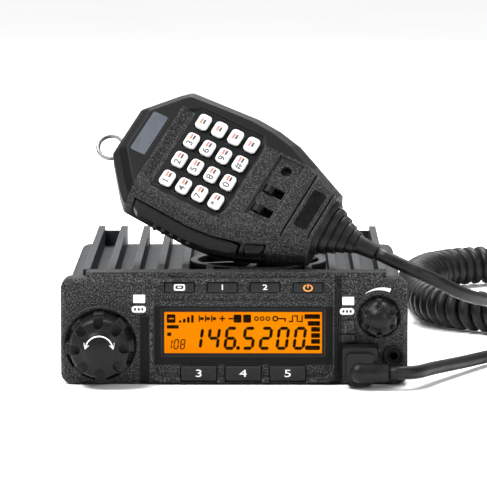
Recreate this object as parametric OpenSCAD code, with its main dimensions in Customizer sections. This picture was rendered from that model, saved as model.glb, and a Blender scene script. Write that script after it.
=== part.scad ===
// Mobile transceiver with a fan-cooled finned case and a keypad hand microphone on a curly cord.
// +X right, +Y from the front panel to the rear, +Z up. Origin: centre of the footprint, on the table.

/* [Case] */
// Width of the case and of the front panel
case_w = 145; // [140:1:150]
// Height of the case to the fin tops
case_h = 47; // [46:0.5:50]
// Depth of the front panel moulding
panel_d = 11; // [10:0.5:12]
// Length of the die-cast chassis behind the panel
chassis_l = 155; // [150:1:170]
// Thickness of one cooling fin
fin_t = 3; // [2:0.25:4]
// Spacing of the cooling fins
fin_pitch = 10.35; // [9.5:0.05:11]

/* [Display and keys] */
// Width of the display opening
lcd_w = 68.3; // [60:0.1:70]
// Height of the display opening
lcd_h = 19.8; // [16:0.1:20.5]
// Travel of the panel keys
panel_key_travel = 0.8; // [0.4:0.1:0.8]

/* [Knobs] */
// Radius of the channel knob over its lugs
channel_r = 14.2; // [12:0.1:14.4]
// Reach of the channel knob in front of the panel
channel_reach = 18; // [14:0.5:20]
// Radius of the volume knob
volume_r = 7.6; // [6.5:0.1:8]
// Reach of the volume knob in front of the panel
volume_reach = 13; // [10:0.5:14]

/* [Microphone] */
// Thickness of the microphone case
mic_t = 29; // [27:0.5:30]
// Spacing of the key rows along the microphone
key_row_pitch = 7.8; // [7.5:0.1:8]
// Spacing of the key columns across the microphone
key_col_pitch = 10.4; // [9.8:0.1:10.6]
// Travel of the microphone keys
mic_key_travel = 0.8; // [0.4:0.1:0.8]

/* [Cord] */
// Diameter of the cord's straight leads
lead_d = 5.6; // [5:0.1:6]
// Outer diameter of the curly cord
curl_d = 19; // [16:0.5:20]

/* [Hidden] */
MIC_KEYS = [for (r = [1:4]) for (c = [1:4]) str("mic_key_r", r, "c", c)];
$fn = 48;
eps = 0.01;

case_black = [0.09, 0.09, 0.10];
cast_grey = [0.30, 0.32, 0.34];
key_white = [0.92, 0.92, 0.90];
rubber_black = [0.05, 0.05, 0.05];
steel = [0.75, 0.75, 0.77];
board_green = [0.05, 0.30, 0.16];

// Depth stations, front to back
face_y = -84;
panel_y = face_y + panel_d;
rear_y = panel_y + chassis_l;
recess_y = face_y + 1.2;
wall_y = face_y + 3.5;
board_y = panel_y - 1.4;
panel_top = case_h - 2.5;

// Chassis
side_t = 3;
roof_z = 34;
valley_z = 38;
cavity_x = case_w / 2 - 0.5 - side_t;
panel_cavity_x = case_w / 2 - 2;
fin_n = 6;
cover_t = 2;
fan = [10, panel_y + 32];
ring_r = 29;
boss_at = [for (x = [-63, 63]) for (y = [-60, 70]) [x, y]];
bracket_y = [-30, 30];
bracket_z = 14;
m4_r = 1.65;

// Front panel
lcd_c = [3.75, 21.5];
top_key_x = [-22.8, -4.9, 12.9, 30.8];
top_key_z = 40.8;
top_key = [12.2, 4.2];
low_key_x = [-14.8, 3.8, 22.4];
low_key_z = 4.4;
low_key = [15, 6.4];
key_gap = 0.3;
channel_at = [-55.7, 16.9];
volume_at = [60.4, 28.7];
lens_at = [[-39.6, 36], [47.6, 35.2]];
lens = [5, 3.5];
plug_at = [52.3, 10];
jack_at = [66.6, 12];
jack_bore_r = 1.78;
shaft_r = 3;
run_gap = 0.05;

// Rear panel
antenna_at = [-44, 18];
dc_at = [40, 17];
rear_jack_at = [8, 17];

// Microphone: x along its length, y across it, z out of its keypad face
mic_at = [-10.5, -58, 90.6];
mic_turn = [54, 0, 0];
mic_spin = -28.7;
mic_split = -13;
mic_end = 55.2;
mic_half = [[-40.5, 12.5], [-36, 17.5], [-29.5, 26], [-25, 30.6], [-19, 30.4], [-6, 31.6], [6, 32.3],
            [17, 31.4], [28, 28.9], [36, 25.3], [46, 20], [55, 16], [66, 11.5]];
mic_back = [[-60, 1], [mic_end, 1], [mic_end, -20], [25, -mic_t - 0.1], [-60, -mic_t - 0.1]];
boot_z = -9.5;
boot_end = 80;
boot_ribs = [13.4, 11.2, 9.2, 7.2, 5.6];
key_size = [5.6, 7.2];
switch_at = [[30.4, 0.8], [30.4, -9.5]];
mic_screw_at = [[-4, 0], [20, -10], [20, 10]];
ring_hinge = [-40.4, -3, -22];
ring_mean_r = 5.6;
ring_wire_r = 0.9;
ring_pin_r = 0.7;

// Cord routes, in the radio's own frame: past the two ends each lead follows these points
boot_tip = mic_point([boot_end + 0.3, 0, boot_z]);
mic_lead_route = [boot_tip, mic_point([boot_end + 12, 0, boot_z]), [82, -77, 44], [95, -68, 36.5],
                  [106, -50, 31], [117, -26, 27], [130, 2, 24], [146, 30, 20.5], [160, 52, 14],
                  [168, 68, 9.8]];
curl_route = [[150, 24, 9.8], [140, 42, 9.8], [121, 55, 9.8], [102, 68, 9.8], [91, 88, 9.8],
              [87, 114, 9.8], [86, 146, 9.8], [88, 178, 9.8], [98, 205, 9.8], [118, 221, 9.8],
              [142, 221, 9.8], [161, 206, 9.8], [170, 178, 9.8], [171, 146, 9.8], [169, 106, 9.8],
              [168, 68, 9.8]];
plug_lead_route = [[64.05, -97.5, 7], [69, -97.5, 7], [76, -92, 6.4], [84, -76, 5.6],
                   [97, -52, 4.2], [111, -28, 3.2], [127, -14, 3], [143, -8, 3], [152, 3, 5],
                   [150, 24, 9.8]];

// ---- Helpers ----

function mic_point(p) =
    let (s = mic_spin, t = mic_turn[0],
         a = [p[0] * cos(s) - p[1] * sin(s), p[0] * sin(s) + p[1] * cos(s), p[2]])
    mic_at + [a[0], a[1] * cos(t) - a[2] * sin(t), a[1] * sin(t) + a[2] * cos(t)];

module on_mic() {
    translate(mic_at) rotate(mic_turn) rotate([0, 0, mic_spin]) children();
}

// A flat shape drawn in X and Z, standing from y0 back to y1
module slab(y0, y1) {
    translate([0, y1, 0]) rotate([90, 0, 0]) linear_extrude(y1 - y0) children();
}

module at_front(p, y) {
    translate([p[0], y, p[1]]) rotate([90, 0, 0]) children();
}

module round_rect(size, r) {
    square([size[0] - 2 * r, size[1]], center = true);
    square([size[0], size[1] - 2 * r], center = true);
    for (x = [-1, 1]) for (y = [-1, 1])
        translate([x * (size[0] / 2 - r), y * (size[1] / 2 - r)]) circle(r);
}

module box(lo, hi) {
    translate(lo) cube(hi - lo);
}

// Catmull-Rom curve through the route's points, with its tangents
function route_point(p, k, t) =
    let (n = len(p), b = p[k], c = p[k + 1],
         a = k == 0 ? 2 * b - c : p[k - 1],
         d = k == n - 2 ? 2 * c - b : p[k + 2])
    0.5 * (2 * b + (c - a) * t + (2 * a - 5 * b + 4 * c - d) * t * t
           + (3 * b - a - 3 * c + d) * t * t * t);
function route_curve(p, steps) = concat(
    [for (k = [0:len(p) - 2]) for (i = [0:steps - 1]) route_point(p, k, i / steps)],
    [p[len(p) - 1]]);
function unit(v) = v / norm(v);
function curve_tangent(c, i) =
    let (n = len(c) - 1)
    unit(c[min(i + 1, n)] - c[max(i - 1, 0)]);

module tube(route, d, sides, steps) {
    c = route_curve(route, steps);
    n = len(c);
    points = [for (i = [0:n - 1])
        let (t = curve_tangent(c, i), s = unit(cross(t, [0, 0, 1])), u = cross(s, t))
        for (j = [0:sides - 1])
            c[i] + d / 2 * (cos(360 * j / sides) * s + sin(360 * j / sides) * u)];
    walls = [for (i = [0:n - 2]) for (j = [0:sides - 1])
        let (k = (j + 1) % sides)
        [i * sides + j, i * sides + k, (i + 1) * sides + k, (i + 1) * sides + j]];
    first = [for (j = [sides - 1:-1:0]) j];
    last = [for (j = [0:sides - 1]) (n - 1) * sides + j];
    polyhedron(points, concat(walls, [first, last]), convexity = 8);
}

// ---- Radio case ----

module chassis_outline() {
    w = case_w / 2 - 0.5;
    polygon(concat([[-w, 0], [w, 0], [w, valley_z - 4]],
        [for (a = [0:15:90]) [w - 4 + 4 * cos(a), valley_z - 4 + 4 * sin(a)]],
        [for (a = [90:15:180]) [-w + 4 + 4 * cos(a), valley_z - 4 + 4 * sin(a)]]));
}

module fins() {
    end_y = rear_y - 2;
    for (i = [-fin_n:fin_n]) translate([i * fin_pitch, 0, 0]) {
        box([-fin_t / 2, panel_y, valley_z - 1], [fin_t / 2, end_y - 3, case_h]);
        box([-fin_t / 2, panel_y, valley_z - 1], [fin_t / 2, end_y, case_h - 3]);
        translate([0, end_y - 3, case_h - 3]) rotate([0, 90, 0])
            cylinder(r = 3, h = fin_t, center = true);
    }
    box([-fin_n * fin_pitch, end_y - 5, valley_z - 1],
        [-(fin_n - 1) * fin_pitch, end_y - 3, case_h - 2]);
    box([(fin_n - 1) * fin_pitch, end_y - 5, valley_z - 1],
        [fin_n * fin_pitch, end_y - 3, case_h - 2]);
}

module fan_guard() {
    translate([fan[0], fan[1], 0]) {
        difference() {
            translate([0, 0, roof_z]) cylinder(r = ring_r, h = case_h - roof_z);
            translate([0, 0, roof_z - 1]) cylinder(r = ring_r - 3, h = case_h - roof_z + 2);
        }
        translate([0, 0, case_h - 3.5]) cylinder(r = 10, h = 3.5);
        for (a = [20:60:320]) rotate([0, 0, a])
            box([9, -1.5, case_h - 3.5], [ring_r - 2, 1.5, case_h - 0.5]);
    }
}

module chassis() color(cast_grey) {
    difference() {
        union() {
            difference() {
                union() {
                    slab(panel_y, rear_y) chassis_outline();
                    fins();
                }
                translate([fan[0], fan[1], roof_z - 1]) cylinder(r = ring_r - 0.5, h = 20);
                box([-cavity_x, panel_y - 1, -1], [cavity_x, rear_y - 4, roof_z]);
            }
            fan_guard();
            for (p = boss_at) translate([p[0], p[1], cover_t]) cylinder(r = 4, h = 14);
            for (p = boss_at) box([p[0] < 0 ? -cavity_x - 1 : p[0], p[1] - 1.5, cover_t],
                                  [p[0] < 0 ? p[0] : cavity_x + 1, p[1] + 1.5, 16]);
            for (s = [-1, 1]) for (y = bracket_y)
                translate([s * (cavity_x - 1), y, bracket_z]) rotate([0, 90, 0])
                    cylinder(r = 4.5, h = 4, center = true);
        }
        for (p = boss_at) translate([p[0], p[1], cover_t - 1]) cylinder(r = 1.5, h = 11);
        for (s = [-1, 1]) for (y = bracket_y)
            translate([s * case_w / 2, y, bracket_z]) rotate([0, 90, 0])
                cylinder(r = m4_r, h = 20, center = true);
        at_front(antenna_at, rear_y + 1) cylinder(r = 5.5, h = 6);
        at_front(rear_jack_at, rear_y + 1) cylinder(r = 3.1, h = 6);
        at_front(dc_at, rear_y + 1) linear_extrude(6) square([20.4, 10.4], center = true);
        for (i = [-4:4]) at_front([-8 + i * 3.4, 28], rear_y + 1)
            linear_extrude(6) square([1.8, 6], center = true);
    }
}

module bottom_cover() color(cast_grey) difference() {
    box([-cavity_x + 0.2, panel_y + 0.3, 0], [cavity_x - 0.2, rear_y - 4.2, cover_t]);
    for (p = boss_at) translate([p[0], p[1], -1]) {
        cylinder(r = 1.7, h = 5);
        cylinder(r = 3, h = 2.5);
    }
    for (i = [-5:5]) for (j = [-5:5])
        if (norm([i + j / 2, j * 0.866]) < 4.6)
            translate([-30 + 4.4 * (i + j / 2), 28 + 4.4 * 0.866 * j, -1]) cylinder(r = 1.3, h = 5);
}

module case_screws() color(steel) for (p = boss_at) translate([p[0], p[1], 0]) {
    difference() {
        translate([0, 0, 0.2]) cylinder(r = 2.8, h = 1.3 - eps);
        translate([0, 0, -0.5]) cylinder(r = 1.2, h = 1.4, $fn = 6);
    }
    translate([0, 0, 1.4]) cylinder(r = 1.45, h = 8);
}

// ---- Front panel ----

module panel_edge(inset) {
    translate([0, panel_top / 2]) round_rect([case_w - 2 * inset, panel_top - 2 * inset], 4.5);
}

module collar(at, r, stand) {
    at_front(at, face_y + 3) cylinder(r = r, h = 3 + stand);
}

module key_openings(xs, z, size) {
    for (x = xs) translate([x, z])
        square([size[0] + 2 * key_gap, size[1] + 2 * key_gap], center = true);
}

module bezel_outline(grow) {
    w = 76 + 2 * grow;
    h = 41 + 2 * grow;
    translate([3.95, 22.6]) round_rect([w, h], 5);
}

module front_panel() color(case_black) difference() {
    union() {
        hull() {
            slab(face_y, face_y + 1) panel_edge(1.6);
            slab(face_y + 1.2, panel_y) panel_edge(0);
        }
        // Raised lip along the top edge
        translate([0.9, face_y + 5.8, panel_top - 1]) linear_extrude(case_h - panel_top + 1)
            round_rect([125.4, 9], 3);
        collar(channel_at, 16.2, 1.8);
        collar(volume_at, 10.3, 1.2);
        // Raised frame round the display and the keys
        slab(face_y - 0.8, face_y + 2) difference() {
            bezel_outline(1.3);
            bezel_outline(-0.6);
        }
        // Stepped relief between the display and the volume knob
        box([43.6, face_y - 0.5, 27.6], [51.4, face_y + 1, 40]);
        box([43.8, face_y - 1, 21.5], [50.2, face_y + 1, 26.9]);
        box([43.8, face_y - 1.8, 18.4], [50.2, face_y + 1, 20.8]);
        box([-44.6, face_y - 0.5, 28.6], [-35.6, face_y + 1, 39.6]);
    }
    // Hollow behind the front wall
    box([-panel_cavity_x, wall_y, 0.9], [panel_cavity_x, panel_y + 1, panel_top - 1.1]);
    // Sunk field round the display
    slab(face_y - 2, recess_y) bezel_outline(-0.6);
    // Finger groove under the top keys
    slab(face_y - 1, recess_y + 0.7) translate([3.95, 36.2]) square([68, 2.6], center = true);
    slab(face_y - 3, wall_y + 1) {
        translate(lcd_c) square([lcd_w, lcd_h], center = true);
        key_openings(top_key_x, top_key_z, top_key);
        key_openings(low_key_x, low_key_z, low_key);
        for (p = lens_at) translate(p) square(lens, center = true);
        translate(plug_at) square([13, 12], center = true);
    }
    // Wells and shaft holes for the two knobs, and the earphone hole
    at_front(channel_at, face_y + 2.2) cylinder(r = 15, h = 8);
    at_front(channel_at, wall_y + 1) cylinder(r = 4.6, h = 8);
    at_front(volume_at, face_y + 2.2) cylinder(r = 9, h = 8);
    at_front(volume_at, wall_y + 1) cylinder(r = 3.6, h = 8);
    at_front(jack_at, wall_y + 1) cylinder(r = 3.1, h = 8);
    // Square seat for the microphone plug
    slab(face_y - 3, face_y + 1) translate(plug_at) square([15.4, 15], center = true);
}

module display_window() color([1, 0.55, 0.1, 0.6]) {
    slab(recess_y + 0.4, wall_y - 0.1)
        translate(lcd_c) square([lcd_w - 0.2, lcd_h - 0.2], center = true);
}

module lcd_module() color([1, 0.5, 0.05]) {
    slab(wall_y + 0.1, wall_y + 2.9)
        translate(lcd_c) square([lcd_w + 3, lcd_h + 2], center = true);
    slab(wall_y + 2.9, board_y - 0.05)
        translate(lcd_c) square([lcd_w - 4, lcd_h - 2], center = true);
}

module front_board() color(board_green) difference() {
    union() {
        slab(board_y, board_y + 1.2) translate([0, 22]) square([137, 40], center = true);
        for (x = top_key_x) slab(board_y - 0.6, board_y) translate([x, top_key_z - 0.6])
            square([4, 2.6], center = true);
        for (x = low_key_x) slab(board_y - 0.6, board_y) translate([x, low_key_z + 0.6])
            square([4, 3.6], center = true);
    }
    at_front(channel_at, board_y + 2) cylinder(r = 6.5, h = 4);
    at_front(volume_at, board_y + 2) cylinder(r = 5.5, h = 4);
    slab(board_y - 1, board_y + 2) translate(plug_at) square([15, 15], center = true);
    at_front(jack_at, board_y + 2) cylinder(r = 4, h = 4);
}

module indicator_lenses() color([0.9, 0.9, 0.88]) for (p = lens_at)
    slab(face_y - 0.8, wall_y - 0.2) translate(p) square(lens - [0.2, 0.2], center = true);

module panel_key(x, z, size, stem_z) color(case_black) {
    front = recess_y - 1.6;
    hull() {
        slab(front, front + 0.5) translate([x, z]) square(size - [0.8, 0.8], center = true);
        slab(front + 0.5, wall_y + 0.4) translate([x, z]) square(size, center = true);
    }
    slab(wall_y + 0.1, wall_y + 1) translate([x, stem_z]) square([size[0] + 2, 3.8], center = true);
    slab(wall_y + 1, board_y - 0.7 - panel_key_travel)
        translate([x, stem_z]) square([3, 2], center = true);
}

module top_panel_key(i) {
    panel_key(top_key_x[i], top_key_z, top_key, top_key_z - 0.6);
}

module low_panel_key(i) {
    panel_key(low_key_x[i], low_key_z, low_key, low_key_z + 0.6);
}

// ---- Controls ----

// Rotary control behind the panel: can, threaded neck and the bore its shaft turns in
module rotary_body(at, can_r, neck_r) color(steel) difference() {
    can_y = wall_y + 1.6;
    union() {
        at_front(at, board_y + 9) cylinder(r = can_r, h = board_y + 9 - can_y);
        at_front(at, can_y + 0.1) cylinder(r = neck_r, h = 2.6);
    }
    at_front(at, board_y + 20) cylinder(r = shaft_r + run_gap, h = 40);
}

module control_shaft(at, front_y) color(steel) {
    at_front(at, board_y + 8.5) cylinder(r = shaft_r, h = board_y + 8.5 - front_y);
}

module channel_encoder() rotary_body(channel_at, 6.2, 4.4);
module volume_pot() rotary_body(volume_at, 5.2, 3.5);
module channel_shaft() control_shaft(channel_at, face_y - channel_reach + 7);
module volume_shaft() control_shaft(volume_at, face_y - volume_reach + 5);

// Domed knob with eight lugs and a pocket in its face over each lug, from its back face
module channel_knob() color(case_black) {
    back_y = face_y + 1.6;
    h = channel_reach + 1.6;
    at_front(channel_at, back_y) difference() {
        union() {
            rotate_extrude() polygon([[0, 0], [13.3, 0], [13.3, 4], [12.8, 6], [12.3, h - 4.6],
                [11.5, h - 3.6], [7.8, h - 2.7], [7, h - 2.1], [5, h - 0.8], [2.5, h - 0.15], [0, h]]);
            for (i = [0:7]) rotate([0, 0, 45 * i + 2])
                box([10.5, -2.3, 0], [channel_r, 2.3, h - 8.6]);
        }
        for (i = [0:7]) rotate([0, 0, 45 * i + 2]) {
            translate([10, 0, h - 8]) cylinder(r = 2.1, h = 8);
            box([10, -2.1, h - 8], [16, 2.1, h]);
        }
        translate([0, 0, -1]) cylinder(r = shaft_r, h = h - 6);
        translate([0, 0, -1]) cylinder(r = 6, h = 3.6);
    }
}

// Domed knob with six lugs, made the same way
module volume_knob() color(case_black) {
    back_y = face_y + 1.6;
    h = volume_reach + 1.6;
    at_front(volume_at, back_y) difference() {
        union() {
            rotate_extrude() polygon([[0, 0], [volume_r, 0], [volume_r, 2.5], [volume_r - 0.6, 4],
                [7.1, h - 4], [6.5, h - 3], [4.8, h - 2.3], [3.6, h - 1], [1.8, h - 0.2], [0, h]]);
            for (i = [0:5]) rotate([0, 0, 60 * i + 30])
                box([6, -1.3, 0], [volume_r + 0.4, 1.3, h - 6.2]);
        }
        for (i = [0:5]) rotate([0, 0, 60 * i + 30]) {
            translate([6, 0, h - 5.6]) cylinder(r = 1.2, h = 8);
            box([6, -1.2, h - 5.6], [10, 1.2, h]);
        }
        translate([0, 0, -1]) cylinder(r = shaft_r, h = h - 3.5);
        translate([0, 0, -1]) cylinder(r = 4.6, h = 3.6);
    }
}

module panel_key(x, z, size, stem_z) color(case_black) {
    front = recess_y - 1.6;
    hull() {
        slab(front, front + 0.5) translate([x, z]) square(size - [0.8, 0.8], center = true);
        slab(front + 0.5, wall_y + 0.4) translate([x, z]) square(size, center = true);
    }
    slab(wall_y + 0.1, wall_y + 1) translate([x, stem_z]) square([size[0] + 2, 3.8], center = true);
    slab(wall_y + 1, board_y - 0.7 - panel_key_travel)
        translate([x, stem_z]) square([3, 2], center = true);
}

module top_panel_key(i) {
    panel_key(top_key_x[i], top_key_z, top_key, top_key_z - 0.6);
}

module low_panel_key(i) {
    panel_key(low_key_x[i], low_key_z, low_key, low_key_z + 0.6);
}

// ---- Controls ----

// Rotary control behind the panel: can, threaded neck and the bore its shaft turns in
module rotary_body(at, can_r, neck_r) color(steel) difference() {
    can_y = wall_y + 1.6;
    union() {
        at_front(at, board_y + 9) cylinder(r = can_r, h = board_y + 9 - can_y);
        at_front(at, can_y + 0.1) cylinder(r = neck_r, h = 2.6);
    }
    at_front(at, board_y + 20) cylinder(r = shaft_r + run_gap, h = 40);
}

module control_shaft(at, front_y) color(steel) {
    at_front(at, board_y + 8.5) cylinder(r = shaft_r, h = board_y + 8.5 - front_y);
}

module channel_encoder() rotary_body(channel_at, 6.2, 4.4);
module volume_pot() rotary_body(volume_at, 5.2, 3.5);
module channel_shaft() control_shaft(channel_at, face_y - channel_reach + 7);
module volume_shaft() control_shaft(volume_at, face_y - volume_reach + 5);

// Domed knob with a rim of lugs, built along its own axis from its back face
module channel_knob() color(case_black) {
    back_y = face_y + 1.6;
    h = channel_reach + 1.6;
    at_front(channel_at, back_y) difference() {
        union() {
            rotate_extrude() polygon([[0, 0], [12.9, 0], [12.6, h - 6], [11.2, h - 3], [9.6, h - 2.2],
                [9, h - 2], [7.5, h - 0.9], [5, h - 0.25], [2.5, h - 0.05], [0, h]]);
            for (i = [0:9]) rotate([0, 0, 36 * i])
                box([10.5, -2.6, 0], [channel_r - 0.1, 2.6, h - 6.5]);
        }
        for (i = [0:9]) rotate([0, 0, 36 * i + 18]) {
            translate([14.6, 0, 4]) cylinder(r = 2.6, h = h);
            translate([10.6, 0, h - 4]) rotate([0, 14, 0])
                box([-1.6, -1.7, 0], [3, 1.7, 5]);
        }
        translate([0, 0, -1]) cylinder(r = shaft_r, h = h - 6);
        translate([0, 0, -1]) cylinder(r = 6, h = 3.6);
    }
}

// Domed knob with four winged grips
module volume_knob() color(case_black) {
    back_y = face_y + 1.6;
    h = volume_reach + 1.6;
    at_front(volume_at, back_y) difference() {
        union() {
            rotate_extrude() polygon([[0, 0], [volume_r + 0.6, 0], [volume_r + 0.6, 2.5], [6, 3.5],
                [5.4, h - 3], [4.4, h - 1.2], [2.4, h - 0.2], [0, h]]);
            for (i = [0:4]) rotate([0, 0, 72 * i + 18])
                box([3, -1.5, 0], [volume_r, 1.5, h - 3.6]);
        }
        translate([0, 0, -1]) cylinder(r = shaft_r, h = h - 3.5);
        translate([0, 0, -1]) cylinder(r = 4.6, h = 3.6);
    }
}

// ---- Sockets ----

module mic_jack() color(rubber_black) difference() {
    slab(face_y + 1.2, board_y + 9) translate(plug_at) square([12.8, 11.8], center = true);
    slab(face_y, board_y + 7) translate(plug_at) square([11.9, 8.4], center = true);
}

module phone_jack(at, mouth_y) {
    at_front(at, mouth_y) difference() {
        union() {
            cylinder(r = 3, h = 3.6);
            translate([0, 0, -7.3]) cylinder(r = 3.6, h = 7.4);
        }
        translate([0, 0, -6.4]) cylinder(r = jack_bore_r, h = 14);
    }
}

module phone_jacks() color(case_black) {
    phone_jack(jack_at, wall_y + 0.1);
    mirror([0, 1, 0]) phone_jack(rear_jack_at, -(rear_y - 4.1));
}

module antenna_connector() color(steel) translate([antenna_at[0], rear_y, antenna_at[1]])
    rotate([-90, 0, 0]) difference() {
        union() {
            linear_extrude(2.4) round_rect([25, 25], 2);
            cylinder(r = 7.9, h = 20);
            translate([0, 0, -9]) cylinder(r = 5.3, h = 10);
        }
        translate([0, 0, 8]) difference() {
            cylinder(r = 6.4, h = 13);
            cylinder(r = 3.2, h = 10.5);
        }
        translate([0, 0, 6]) cylinder(r = 2, h = 15);
        for (x = [-1, 1]) for (z = [-1, 1])
            translate([9.1 * x, 9.1 * z, -1]) cylinder(r = 1.6, h = 5);
    }

module dc_inlet() color(rubber_black) difference() {
    union() {
        slab(rear_y + 0.05, rear_y + 2.4) translate(dc_at) round_rect([26, 15], 2);
        slab(rear_y - 12, rear_y + 0.1) translate(dc_at) square([20, 10], center = true);
    }
    slab(rear_y - 9, rear_y + 3) translate(dc_at) square([17, 7], center = true);
}

// ---- Inside the case ----

module main_board() color(board_green) {
    difference() {
        box([-64, panel_y + 14, 18], [64, rear_y - 20, 19.6]);
        for (p = boss_at) translate([p[0], p[1], 10]) cylinder(r = 4.6, h = 20);
    }
    box([-52, 42, 19.5], [-4, 60, 27]);
    box([2, 44, 19.5], [22, 60, 31]);
    box([28, 36, 19.5], [58, 58, 25]);
    box([-60, -30, 19.5], [-24, 8, 25]);
    box([40, -28, 19.5], [60, 24, 24]);
    for (x = [-50, -36]) translate([x, 26, 19.5]) cylinder(r = 5, h = 11);
}

module speaker() color([0.12, 0.12, 0.12]) translate([-30, 28, cover_t + 0.2]) difference() {
    union() {
        cylinder(r = 25, h = 2.5);
        translate([0, 0, 2.4]) cylinder(r = 20, h = 4);
        translate([0, 0, 6.3]) cylinder(r = 12, h = 6);
    }
    translate([0, 0, -1]) cylinder(r = 22, h = 2.2);
}

module fan_frame() color(case_black) translate([fan[0], fan[1], roof_z - 10.2]) {
    difference() {
        linear_extrude(10) round_rect([54, 54], 3);
        translate([0, 0, -1]) cylinder(r = 25.5, h = 12);
        for (x = [-1, 1]) for (y = [-1, 1])
            translate([23.5 * x, 23.5 * y, -1]) cylinder(r = 1.6, h = 12);
    }
    difference() {
        union() {
            cylinder(r = 10, h = 1.4);
            for (a = [0:90:270]) rotate([0, 0, a + 45]) box([9, -1.5, 0], [26, 1.5, 1.4]);
            cylinder(r = 3.2, h = 5);
        }
        translate([0, 0, 1]) cylinder(r = 1.5 + run_gap, h = 6);
    }
}

module fan_rotor() color(case_black) translate([fan[0], fan[1], roof_z - 10.2]) {
    difference() {
        translate([0, 0, 2.2]) cylinder(r = 11, h = 7.3);
        translate([0, 0, 2.1]) cylinder(r = 9.6, h = 5.4);
    }
    translate([0, 0, 1.3]) cylinder(r = 1.5, h = 7);
    for (i = [0:6]) rotate([0, 0, i * 360 / 7]) translate([10, 0, 5.9]) rotate([40, 0, 0])
        box([0, -4, -0.6], [14.2, 4, 0.6]);
}

// ---- Microphone ----

module mic_outline(inset) {
    offset(r = 3, $fn = 24) offset(delta = -3 - inset) polygon(concat(mic_half,
        [for (i = [len(mic_half) - 1:-1:0]) [mic_half[i][0], -mic_half[i][1]]]));
}

module mic_level(z, inset) {
    translate([0, 0, z]) linear_extrude(0.1) mic_outline(inset);
}

// The solid between the end of the neck and the sloping back, less inset all round
module mic_bounds(inset) {
    rotate([90, 0, 0]) linear_extrude(90, center = true) offset(delta = -inset) polygon(mic_back);
}

module mic_front_case() on_mic() color(case_black) difference() {
    intersection() {
        hull() {
            mic_level(mic_split, 0);
            mic_level(-8, 0);
            mic_level(-3.4, 2.6);
            mic_level(-0.1, 6);
        }
        mic_bounds(0);
    }
    intersection() {
        hull() {
            mic_level(mic_split - 0.2, 2.4);
            mic_level(-8, 2.4);
            mic_level(-3, 6.4);
        }
        mic_bounds(2.4);
    }
    // Sunk keypad field with a sloping rim, switch field and nameplate seat
    hull() {
        translate([-0.8, 0, -0.8]) linear_extrude(0.1) mic_field(0);
        translate([-0.8, 0, 0.2]) linear_extrude(0.1) mic_field(2.6);
    }
    box([24.4, -14.4, -1], [36.4, 17.4, 2]);
    translate([-29.4, 0, -0.8]) linear_extrude(2) round_rect([7.4, 21.2], 1);
    // Grooves across the neck
    box([42.4, -30, -1.2], [43.3, 30, 1]);
    box([53, -30, -1.6], [53.8, 30, 1]);
    // Key and switch openings, sound hole
    for (r = [0:3]) for (c = [0:3])
        box(mic_key_at(r, c) - [key_size[0] / 2 + 0.2, key_size[1] / 2 + 0.2, 5],
            mic_key_at(r, c) + [key_size[0] / 2 + 0.2, key_size[1] / 2 + 0.2, 5]);
    for (p = switch_at) box([p[0] - 4.6, p[1] - 2.2, -6], [p[0] + 4.6, p[1] + 2.2, 1]);
    translate([30.4, 11.9, -6]) cylinder(r = 2.4, h = 8);
    // Notches for the talk bar and the side key
    box([-20.5, -40, mic_split - 1], [29.5, -25.5, -3.6]);
    box([31, -40, mic_split - 1], [39, -21.2, -4]);
}

module mic_field(grow) {
    polygon([[-18.2 - 1.6 * grow, -17.5], [-15, -21.6 - 0.3 * grow], [15, -21.6 - 0.3 * grow], [18.3, -17],
             [18.3, 17], [15, 21.6 + 0.3 * grow], [-15, 21.6 + 0.3 * grow], [-18.2 - 1.6 * grow, 17.5]]);
}

module mic_rear_case() on_mic() color(case_black) {
    difference() {
        intersection() {
            hull() {
                mic_level(mic_split - 0.15, 0);
                mic_level(mic_split - 4, 0);
                mic_level(mic_split - 9, 3.2);
                mic_level(-mic_t, 9.2);
            }
            mic_bounds(0);
        }
        intersection() {
            hull() {
                mic_level(mic_split + 0.1, 2.4);
                mic_level(mic_split - 3.2, 2.6);
                mic_level(mic_split - 8, 5.6);
                mic_level(-mic_t + 2.6, 10.4);
            }
            translate([0, 0, 0.4]) mic_bounds(2.4);
        }
        for (p = mic_screw_at) translate([p[0], p[1], -mic_t - 1]) cylinder(r = 1.3, h = 5);
    }
    // Lugs that hold the hanging ring
    for (s = [-1, 1]) translate(ring_hinge + [0, s * 4.5, 0]) difference() {
        union() {
            box([0, -1, -1.4], [5.4, 1, 1.4]);
            rotate([90, 0, 0]) cylinder(r = 1.4, h = 2, center = true);
        }
        rotate([90, 0, 0]) cylinder(r = ring_pin_r + run_gap, h = 4, center = true);
    }
}

function mic_key_at(r, c) = [(r - 1.5) * key_row_pitch, (c - 1.5) * key_col_pitch, 0];

// One rounded key cap with its carrier behind the case wall
module mic_key(r, c) on_mic() color(key_white) translate(mic_key_at(r, c)) {
    translate([0, 0, -3.4]) linear_extrude(4.1) round_rect(key_size, 1.6);
    translate([0, 0, 0.6]) linear_extrude(0.5) round_rect(key_size - [0.9, 0.9], 1.3);
    translate([0, 0, -4.2]) linear_extrude(0.9) square(key_size + [1.2, 1.2], center = true);
}

module ptt_level(z, inset) {
    translate([0, 0, z]) linear_extrude(0.1) polygon([[-19.6, -27.3], [-19.6, -31.2 + inset],
        [-17, -33 + inset], [-6, -34.4 + inset], [6, -35 + inset], [17, -34 + inset],
        [26, -31.6 + inset], [28.6, -30 + inset], [28.6, -27.3]]);
}

module ptt_bar() on_mic() color(case_black) {
    hull() {
        ptt_level(mic_split + 1.2, 2.2);
        ptt_level(mic_split + 3, 0);
        ptt_level(-7, 0.4);
        ptt_level(-4.6, 2.4);
    }
    for (i = [0:4]) box([-8 + 4 * i, -35.5, mic_split + 3.4], [-6.6 + 4 * i, -32, -7.4]);
    box([-2, -27.4, -10], [6, -24.8, -7.5]);
}

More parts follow.
